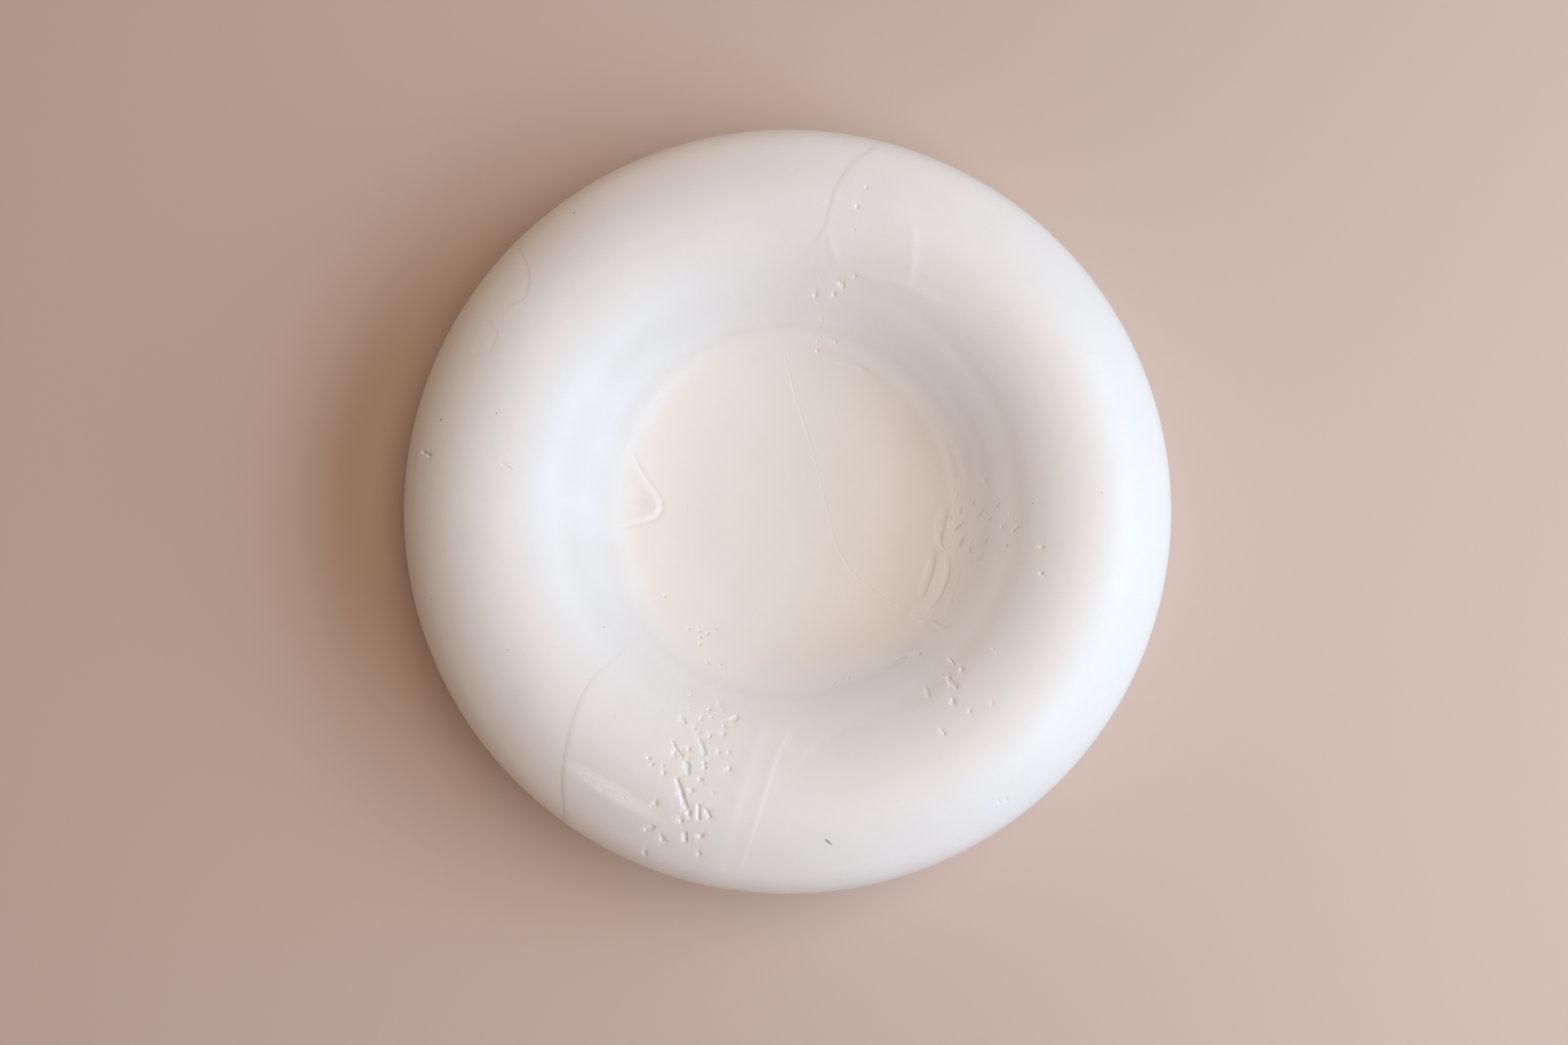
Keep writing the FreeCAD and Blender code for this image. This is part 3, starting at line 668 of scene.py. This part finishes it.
class Shell:
    """A coat as a closed shell: a fine top sheet and a coarse bottom sheet with one rim."""

    def __init__(self, name, edge, side, top, depth, spacing, creases=()):
        self.name = name
        self.edge = edge
        self.side = side
        self.top = top
        self.depth = depth
        self.spacing = spacing
        self.creases = creases
        line = edge.line()
        start, end = (math.atan2(*point[::-1]) for point in (line[-1], line[0]))
        if side > 0:
            end -= math.tau if end > start else 0
        else:
            end += math.tau if end < start else 0
        self.turns = (start, end)
        self.rim = np.concatenate([line, foot_row(start, end)])

    def margin(self, flat):
        """How far inside its own rim each point is."""
        x, y, upper = seen_from_above(flat)
        foot = FOOT_ALONG - np.hypot(flat[:, 0], flat[:, 1])
        return np.minimum(self.side * self.edge.distance(x, y), foot)

    def rows(self):
        """Lines that the top sheet's mesh follows: beside its edges, and along creases."""
        start, end = self.turns
        for inset in EDGE_ROWS:
            yield self.edge.line(self.side * inset, ROW_TRIM)
            row = foot_row(start, end, inset)
            x, y, upper = seen_from_above(row)
            yield row[self.side * self.edge.distance(x, y) > ROW_TRIM]
        for crease, insets in self.creases:
            for inset in insets:
                yield crease.line(inset, ROW_TRIM)

    def sheet(self, spacing, rows):
        """Triangles over the unrolled plane, with the rim's points first."""
        points = [self.rim]
        edges = []
        count = len(self.rim)
        for row in rows:
            edges += [(count + i, count + i + 1) for i in range(len(row) - 1)]
            points.append(row)
            count += len(row)
        fill = cells(spacing, FOOT_ALONG)
        size = spacing(fill)
        least = EDGE_ROWS[-1] + ROW_CLEARANCE if rows else RIM_CLEARANCE
        clear = self.margin(fill) > np.maximum(CELL_CLEARANCE * size, least)
        x, y, upper = seen_from_above(fill)
        for crease, insets in self.creases if rows else ():
            near = crease.distance(x, y)
            clear &= (near < insets[0] - CREASE_CLEARANCE) | (near > insets[-1] + CREASE_CLEARANCE)
        points.append(fill[clear])
        flat = np.concatenate(points)
        loop = list(range(len(self.rim)))
        vectors = [Vector(point) for point in flat]
        made = delaunay_2d_cdt(vectors, edges, [loop], INSIDE_THE_RIM, MERGE_DISTANCE)
        vertices = np.array([tuple(vertex) for vertex in made[0]])
        triangles = np.array(made[2])
        sources = made[3]
        order = np.full(len(self.rim), -1)
        for index, origin in enumerate(sources):
            for number in origin:
                if number < len(self.rim):
                    order[number] = index
        return vertices, triangles, order

    def build(self):
        """The closed shell as a Blender object."""
        fine, top_faces, top_rim = self.sheet(self.spacing, list(self.rows()))
        coarse, low_faces, low_rim = self.sheet(lambda flat: np.full(len(flat), COARSEST), [])
        top_lift = self.top(fine)
        low_lift = self.top(coarse) - self.depth(coarse)
        top = place(fine, top_lift)
        low = place(coarse, low_lift)
        # The bottom sheet uses the top sheet's own rim points.
        number = np.arange(len(coarse)) + len(fine)
        number[low_rim] = top_rim
        faces = np.concatenate([top_faces, number[low_faces][:, ::-1]])
        points = np.concatenate([top, low])
        used = np.unique(faces)
        renumber = np.zeros(len(points), int)
        renumber[used] = np.arange(len(used))
        mesh = bpy.data.meshes.new(self.name)
        mesh.from_pydata((points[used] * MM).tolist(), [], renumber[faces].tolist())
        mesh.polygons.foreach_set("use_smooth", [True] * len(mesh.polygons))
        sharp = set(renumber[top_rim].tolist())
        x, y, upper = seen_from_above(fine)
        for crease, insets in self.creases:
            on_crease = np.flatnonzero(np.abs(crease.distance(x, y) - insets[0]) < ON_LINE)
            sharp.update(renumber[on_crease].tolist())
        for edge in mesh.edges:
            edge.use_edge_sharp = edge.vertices[0] in sharp and edge.vertices[1] in sharp
        shell = bpy.data.objects.new(self.name, mesh)
        bpy.context.scene.collection.objects.link(shell)
        print(self.name, "triangles", len(mesh.polygons))
        return shell


def dress(shell, node, material):
    """Hang a new shell on the frame in place of its CAD node."""
    shell.data.materials.append(material)
    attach(shell, "root")
    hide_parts(node)


# ---------------------------------------------------------------- materials


class Nodes:
    """A node material's tree, with short calls to add and join its nodes."""

    def __init__(self, name, roughness):
        self.material = bpy.data.materials.new(name)
        self.material.use_nodes = True
        self.tree = self.material.node_tree
        self.shader = self.tree.nodes["Principled BSDF"]
        self.shader.inputs["Roughness"].default_value = roughness
        self.position = self.tree.nodes.new("ShaderNodeTexCoord").outputs["Object"]

    def add(self, kind, **settings):
        """A new node with its properties set."""
        node = self.tree.nodes.new(kind)
        for key, value in settings.items():
            setattr(node, key, value)
        return node

    def join(self, source, target):
        self.tree.links.new(source, target)

    def noise(self, scale, detail=3.0, roughness=0.5):
        node = self.add("ShaderNodeTexNoise")
        node.inputs["Scale"].default_value = scale
        node.inputs["Detail"].default_value = detail
        node.inputs["Roughness"].default_value = roughness
        self.join(self.position, node.inputs["Vector"])
        return node.outputs["Fac"]

    def spots(self, scale, low, high):
        """Round spots: 1 near the centres of random cells, 0 elsewhere."""
        node = self.add("ShaderNodeTexVoronoi")
        node.inputs["Scale"].default_value = scale
        self.join(self.position, node.inputs["Vector"])
        return self.span(node.outputs["Distance"], low, high, 1.0, 0.0)

    def span(self, source, low, high, start, end):
        """A smooth step from start, where the source is low, to end, where it is high."""
        node = self.add("ShaderNodeMapRange", interpolation_type="SMOOTHSTEP")
        for key, value in zip(("From Min", "From Max", "To Min", "To Max"), (low, high, start, end)):
            node.inputs[key].default_value = value
        self.join(source, node.inputs["Value"])
        return node.outputs["Result"]

    def band(self, source, rising, falling, height):
        """A soft band: it rises to height over one span and falls to 0 over the next."""
        up = self.span(source, *rising, 0.0, height)
        return self.math("MULTIPLY", up, self.span(source, *falling, 1.0, 0.0))

    def math(self, operation, first, second):
        """The result of an operation on two values, each a socket or a number."""
        node = self.add("ShaderNodeMath", operation=operation)
        for socket, value in zip(node.inputs, (first, second)):
            if isinstance(value, (int, float)):
                socket.default_value = value
            else:
                self.join(value, socket)
        return node.outputs[0]

    def two_tone(self, light, dark, *cloud):
        """A colour that drifts between two tones."""
        return self.mix(self.span(self.noise(*cloud), 0.3, 0.7, 0.0, 1.0), light, dark)

    def mix(self, share, first, second):
        """A mixture of two colours, each a socket or a tuple."""
        node = self.add("ShaderNodeMix", data_type="RGBA")
        sockets = (node.inputs[0], node.inputs[6], node.inputs[7])
        for socket, value in zip(sockets, (share, first, second)):
            if isinstance(value, tuple):
                socket.default_value = (*value, 1)
            elif isinstance(value, (int, float)):
                socket.default_value = value
            else:
                self.join(value, socket)
        return node.outputs[2]

    def distance(self, x, y, half_length, half_width, turn=0.0):
        """How far out of an oval in plan a point is: 0 at its middle, 1 on the oval."""
        node = self.add("ShaderNodeMapping", vector_type="TEXTURE")
        node.inputs["Location"].default_value = (x * MM, y * MM, 0)
        node.inputs["Rotation"].default_value = (0, 0, math.radians(turn))
        node.inputs["Scale"].default_value = (half_length * MM, half_width * MM, 1)
        self.join(self.position, node.inputs["Vector"])
        length = self.add("ShaderNodeVectorMath", operation="LENGTH")
        self.join(node.outputs["Vector"], length.inputs[0])
        return length.outputs["Value"]

    def oval(self, *shape):
        """A soft oval spot: 1 inside, 0 outside."""
        return self.span(self.distance(*shape), 0.5, 1.5, 1.0, 0.0)

    def radius(self):
        """Distance from the mold's axis, in metres."""
        split = self.add("ShaderNodeSeparateXYZ")
        self.join(self.position, split.inputs[0])
        x, y = (self.math("POWER", split.outputs[i], 2.0) for i in (0, 1))
        return self.math("SQRT", self.math("ADD", x, y), 0.0)

    def colour(self, source):
        self.join(source, self.shader.inputs["Base Color"])

    def rough(self, source):
        self.join(source, self.shader.inputs["Roughness"])

    def bump(self, height, distance):
        """Bump from a height, of which 1 stands for the distance in metres."""
        node = self.add("ShaderNodeBump")
        node.inputs["Strength"].default_value = 1.0
        node.inputs["Distance"].default_value = distance
        self.join(height, node.inputs["Height"])
        self.join(node.outputs["Normal"], self.shader.inputs["Normal"])


# Spots of painted shade: their strength, and an oval as x, y, half length, half width and turn.
PAINTED_SHADE_SPOTS = [(0.10, (16, -62, 42, 15, 12)), (0.10, (46, 42, 42, 15, 132)), (0.07, (2, 80, 17, 11, 60)),
          (0.09, (-54.0, 1.6, 4.0, 1.8, -5))]
# A painted highlight: a pale streak at the lower left.
PAINTED_HIGHLIGHT_STREAK = (-62.0, -102.5, 17, 2.8, -31)
# Dark specks: strength and oval. The one at 78.2, -15.4 lies in a pit, and its dark there is painted
# shade.
SPECKS = [(0.75, (14.2, -120.2, 1.5, 0.4, -38)), (0.6, (-77.3, 105.3, 0.4, 0.3, 0)),
          (0.6, (-124.2, 29.5, 0.5, 0.35, 40)), (0.4, (-127.0, -35.0, 0.3, 0.3, 0)),
          (0.4, (-98.7, -53.0, 0.3, 0.3, 0)), (0.4, (-65.6, -44.7, 0.3, 0.3, 0)),
          (0.5, (-103.6, 31.3, 0.3, 0.3, 0)), (0.5, (87.5, -0.6, 0.25, 0.25, 0)),
          (0.45, (78.2, -15.4, 0.35, 0.3, 0)), (0.3, (111.5, 2.8, 0.25, 0.5, 0))]
# The floor pits whose hollows get painted shade.
SHADE_PAINTED_FLOOR_PITS = FLOOR_PITS[:8]
# Where the cream tint of the pooled slip ends, by radius.
POOL_END = (0.052, 0.074)
# Painted shade round the crease, a grey ring: where it rises and falls, by radius, and its strength.
CREASE_RING = ((0.058, 0.072), (0.074, 0.088), 0.10)
# A thin line of painted shade on a circle, the same but in shares of the circle's radius.
CREASE_CIRCLE = (0.0, -2.0, 67.5, 67.5)
CREASE_LINE = ((0.955, 1.0), (1.0, 1.05), 0.07)
WHITE = (0.85, 0.85, 0.845)
CREAM = (0.86, 0.805, 0.745)
MOTTLE = (0.74, 0.70, 0.65)
# The grey of the painted shade.
PAINTED_SHADE_GREY = (0.55, 0.53, 0.51)
# The white of the painted highlight.
PAINTED_HIGHLIGHT_WHITE = (1.0, 1.0, 1.0)
# The dark of the specks and of the painted shade in pits.
SPECK_AND_PIT_SHADE = (0.22, 0.19, 0.17)


def specks_and_pit_shades():
    """Every dark speck, and the painted shade in the pits of the floor and in the long pits at the
    right: strength and oval.
    """
    yield from SPECKS
    for x, y, width, depth in SHADE_PAINTED_FLOOR_PITS:
        yield 0.22, (x, y, 0.35, 0.35, 0)
    for x0, y0, x1, y1, width, depth in SHADE_PAINTED_PITS:
        half_length = math.hypot(x1 - x0, y1 - y0) / 2 + width / 3
        turn = math.degrees(math.atan2(y1 - y0, x1 - x0))
        yield 0.17, ((x0 + x1) / 2, (y0 + y1) / 2, half_length, width / 2, turn)


def painted_crease_shade(made, radius):
    """Painted shade round the crease: a broad ring, a thin line and a few soft spots."""
    ring = made.band(radius, *CREASE_RING)
    line = made.band(made.distance(*CREASE_CIRCLE), *CREASE_LINE)
    off_middle = made.span(made.distance(0, 0, 500, 40), 0.5, 1.4, 0.2, 1.0)
    shade = made.math("ADD", ring, made.math("MULTIPLY", line, off_middle))
    for share, shape in PAINTED_SHADE_SPOTS:
        shade = made.math("ADD", shade, made.math("MULTIPLY", share, made.oval(*shape)))
    return shade


def specks_and_pit_shade(made):
    """Fine specks scattered in patches, and the larger ones that the photograph shows."""
    # The specks also carry painted shade in the pits of the floor and in the long pits at the right.
    patches = made.span(made.noise(33.0, 1.0), 0.60, 0.66, 0.0, 1.0)
    specks = made.math("MULTIPLY", made.spots(95.0, 0.012, 0.022), patches)
    for share, shape in specks_and_pit_shades():
        specks = made.math("MAXIMUM", specks, made.math("MULTIPLY", share, made.oval(*shape)))
    return specks


def white_slip():
    """Satin white slip: creamier where it pooled in the well, whiter over the rim, with painted shade
    round the crease and a painted highlight at the lower left.
    """
    made = Nodes("white_slip", 0.42)
    radius = made.radius()
    pooled = made.span(radius, *POOL_END, 1.0, 0.0)
    cloud = made.span(made.noise(14.0, 4.0, 0.55), 0.35, 0.65, -0.08, 0.08)
    colour = made.mix(made.math("ADD", pooled, cloud), WHITE, CREAM)
    colour = made.mix(made.span(made.noise(420.0, 2.0, 0.6), 0.3, 0.7, 0.0, 0.06), colour, MOTTLE)
    # Painted shade: the slip is greyed round the crease and in a few soft spots.
    colour = made.mix(painted_crease_shade(made, radius), colour, PAINTED_SHADE_GREY)
    # Painted highlight: a patchy pale streak at the lower left, painted into the colour.
    highlight_patchiness = made.span(made.noise(700.0, 3.0, 0.7), 0.35, 0.65, 0.45, 1.0)
    colour = made.mix(made.math("MULTIPLY", made.oval(*PAINTED_HIGHLIGHT_STREAK), highlight_patchiness), colour, PAINTED_HIGHLIGHT_WHITE)
    # Dark specks, and painted shade in the pits.
    made.colour(made.mix(specks_and_pit_shade(made), colour, SPECK_AND_PIT_SHADE))
    made.rough(made.span(made.noise(60.0, 3.0), 0.25, 0.75, 0.36, 0.48))
    grain = made.math("ADD", made.noise(900.0, 2.0), made.math("MULTIPLY", made.noise(210.0, 2.0), 1.6))
    made.bump(grain, 0.00002)
    return made.material


def face_plaster():
    """Fine, dense potter's plaster with pinholes."""
    made = Nodes("face_plaster", 0.8)
    tint = made.two_tone((0.80, 0.78, 0.74), (0.74, 0.71, 0.66), 25.0, 4.0)
    holes = made.spots(260.0, 0.05, 0.14)
    # The pinholes are coloured darker: painted shade inside the holes.
    made.colour(made.mix(made.math("MULTIPLY", holes, 0.5), tint, (0.50, 0.47, 0.43)))
    made.rough(made.span(made.noise(120.0), 0.3, 0.7, 0.74, 0.88))
    made.bump(made.math("SUBTRACT", made.noise(500.0, 3.0), holes), 0.00018)
    return made.material


def backing_plaster():
    """Coarser plaster, greyer and more open, with trowel marks."""
    made = Nodes("backing_plaster", 0.88)
    tint = made.two_tone((0.66, 0.63, 0.58), (0.55, 0.52, 0.47), 18.0, 5.0, 0.6)
    holes = made.spots(120.0, 0.06, 0.2)
    # The holes are coloured darker: painted shade inside them.
    made.colour(made.mix(made.math("MULTIPLY", holes, 0.6), tint, (0.36, 0.33, 0.29)))
    made.rough(made.span(made.noise(90.0), 0.3, 0.7, 0.82, 0.95))
    trowel = made.noise(46.0, 4.0, 0.6)
    made.bump(made.math("SUBTRACT", made.math("MULTIPLY", trowel, 2.0), holes), 0.0005)
    return made.material


def jute_scrim():
    """Open jute weave."""
    made = Nodes("jute_scrim", 0.9)
    bands = []
    for axis in ("X", "Y"):
        wave = made.add("ShaderNodeTexWave", bands_direction=axis)
        wave.inputs["Scale"].default_value = 130.0
        wave.inputs["Distortion"].default_value = 1.2
        made.join(made.position, wave.inputs["Vector"])
        bands.append(wave.outputs["Fac"])
    weave = made.math("MAXIMUM", *bands)
    # Darker between the threads: painted shade in the gaps of the weave.
    made.colour(made.mix(weave, (0.20, 0.13, 0.07), (0.52, 0.38, 0.22)))
    made.rough(made.span(weave, 0.0, 1.0, 0.95, 0.85))
    made.bump(weave, 0.0006)
    return made.material


def galvanised_wire():
    """Zinc coated wire with a faint spangle."""
    made = Nodes("galvanised_wire", 0.45)
    made.shader.inputs["Metallic"].default_value = 1.0
    spangle = made.noise(300.0, 3.0)
    patches = made.span(spangle, 0.35, 0.65, 0.0, 1.0)
    made.colour(made.mix(patches, (0.62, 0.63, 0.65), (0.46, 0.47, 0.50)))
    made.rough(made.span(spangle, 0.3, 0.7, 0.35, 0.6))
    made.bump(spangle, 0.00005)
    return made.material


def finish_nodes():
    """Give every CAD node that stays its material."""
    finishes = [
        (face_plaster(), ("rim_face", "well_floor")),
        (backing_plaster(), ("rim_core", "floor_backing")),
        (jute_scrim(), ("floor_scrim",)),
        (galvanised_wire(), ("crest_hoop", "girth_hoop")),
    ]
    for material, names in finishes:
        for name in names:
            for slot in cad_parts[name].material_slots:
                slot.material = material


# ---------------------------------------------------------------- stage, light and camera

# The camera: its distance from what it looks at and that point, in metres, its tilt in
# degrees, and its lens and sensor in millimetres.
DISTANCE = 0.7958
AIM = Vector((-0.0013, -0.0058, 0.042))
TILT = 5.0
LENS = 50.0
SENSOR_WIDTH = 36.0
FLOOR_COLOUR = (0.62, 0.49, 0.425, 1)
FLOOR_REACH = 8.0
WORLD_COLOUR = (1.0, 0.6, 0.4)
WORLD_STRENGTH = 0.18
# Name, azimuth and elevation in degrees, distance in metres, half width and half height in
# degrees, power in watts, and colour.
LIGHTS = [
    ("near_window", -8, 45, 0.8, 30, 10, 2.0, (0.89, 0.99, 1.0)),
    ("low_window", -8, 22, 3.0, 30, 6, 23.7, (0.21, 0.64, 1.0)),
    ("far_window", -8, 50, 3.0, 30, 8, 40.0, (0.64, 0.76, 1.0)),
    ("high_window", -8, 78, 3.0, 25, 8, 26.9, (1.0, 0.81, 0.57)),
    ("back_wall", 90, 12, 3.0, 30, 8, 13.7, (1.0, 0.84, 0.70)),
    ("front_wall", -90, 12, 3.0, 30, 8, 7.3, (1.0, 0.94, 0.94)),
]


def make_floor():
    """A plain pale floor."""
    made = Nodes("pale_floor", 0.6)
    made.shader.inputs["Base Color"].default_value = FLOOR_COLOUR
    mesh = bpy.data.meshes.new("stage_floor")
    corners = [(x * FLOOR_REACH, y * FLOOR_REACH, 0) for x, y in ((-1, -1), (1, -1), (1, 1), (-1, 1))]
    mesh.from_pydata(corners, [], [(0, 1, 2, 3)])
    mesh.materials.append(made.material)
    floor = bpy.data.objects.new("stage_floor", mesh)
    bpy.context.scene.collection.objects.link(floor)


def make_light(name, azimuth, elevation, distance, half_width, half_height, energy, colour):
    """A soft rectangular light that faces the mold from a direction, given in degrees."""
    data = bpy.data.lights.new(name, "AREA")
    data.shape = "RECTANGLE"
    data.size = 2 * distance * math.tan(math.radians(half_width))
    data.size_y = 2 * distance * math.tan(math.radians(half_height))
    data.energy = energy
    data.color = colour
    light = bpy.data.objects.new(name, data)
    turn, rise = math.radians(azimuth), math.radians(elevation)
    back = Vector((math.cos(turn) * math.cos(rise), math.sin(turn) * math.cos(rise), math.sin(rise)))
    light.location = back * distance
    light.rotation_euler = back.to_track_quat("Z", "Y").to_euler()
    bpy.context.scene.collection.objects.link(light)


def make_world():
    """A faint warm light from all round."""
    world = bpy.data.worlds.new("studio")
    world.use_nodes = True
    background = world.node_tree.nodes["Background"]
    background.inputs["Color"].default_value = (*WORLD_COLOUR, 1)
    background.inputs["Strength"].default_value = WORLD_STRENGTH
    bpy.context.scene.world = world


def make_camera():
    """The camera looks nearly straight down, a little from the near side."""
    data = bpy.data.cameras.new("camera")
    data.lens = LENS
    data.sensor_width = SENSOR_WIDTH
    camera = bpy.data.objects.new("camera", data)
    tilt = math.radians(TILT)
    back = Vector((0, -math.sin(tilt), math.cos(tilt)))
    camera.location = AIM + back * DISTANCE
    camera.rotation_euler = (tilt, 0, 0)
    bpy.context.scene.collection.objects.link(camera)
    bpy.context.scene.camera = camera


# ---------------------------------------------------------------- the scene

SLIP = white_slip()
# The first coat's mesh follows the second coat's edge, and is coarse further under it.
SHOWN_UNDER = 3.0
UNDER_ROWS = (0.0, 0.6)
first = Shell("first_coat_skin", FIRST_EDGE, -1, first_top, first_depth,
              lambda flat: wanted_spacing(flat, SHOWN_UNDER), [(SECOND_EDGE, UNDER_ROWS)])
dress(first.build(), "first_coat", SLIP)
second = Shell("second_coat_skin", SECOND_EDGE, 1, second_top, second_depth, wanted_spacing)
dress(second.build(), "second_coat", SLIP)
finish_nodes()
make_floor()
make_world()
for light in LIGHTS:
    make_light(*light)
make_camera()
bpy.context.scene.view_settings.view_transform = "Standard"
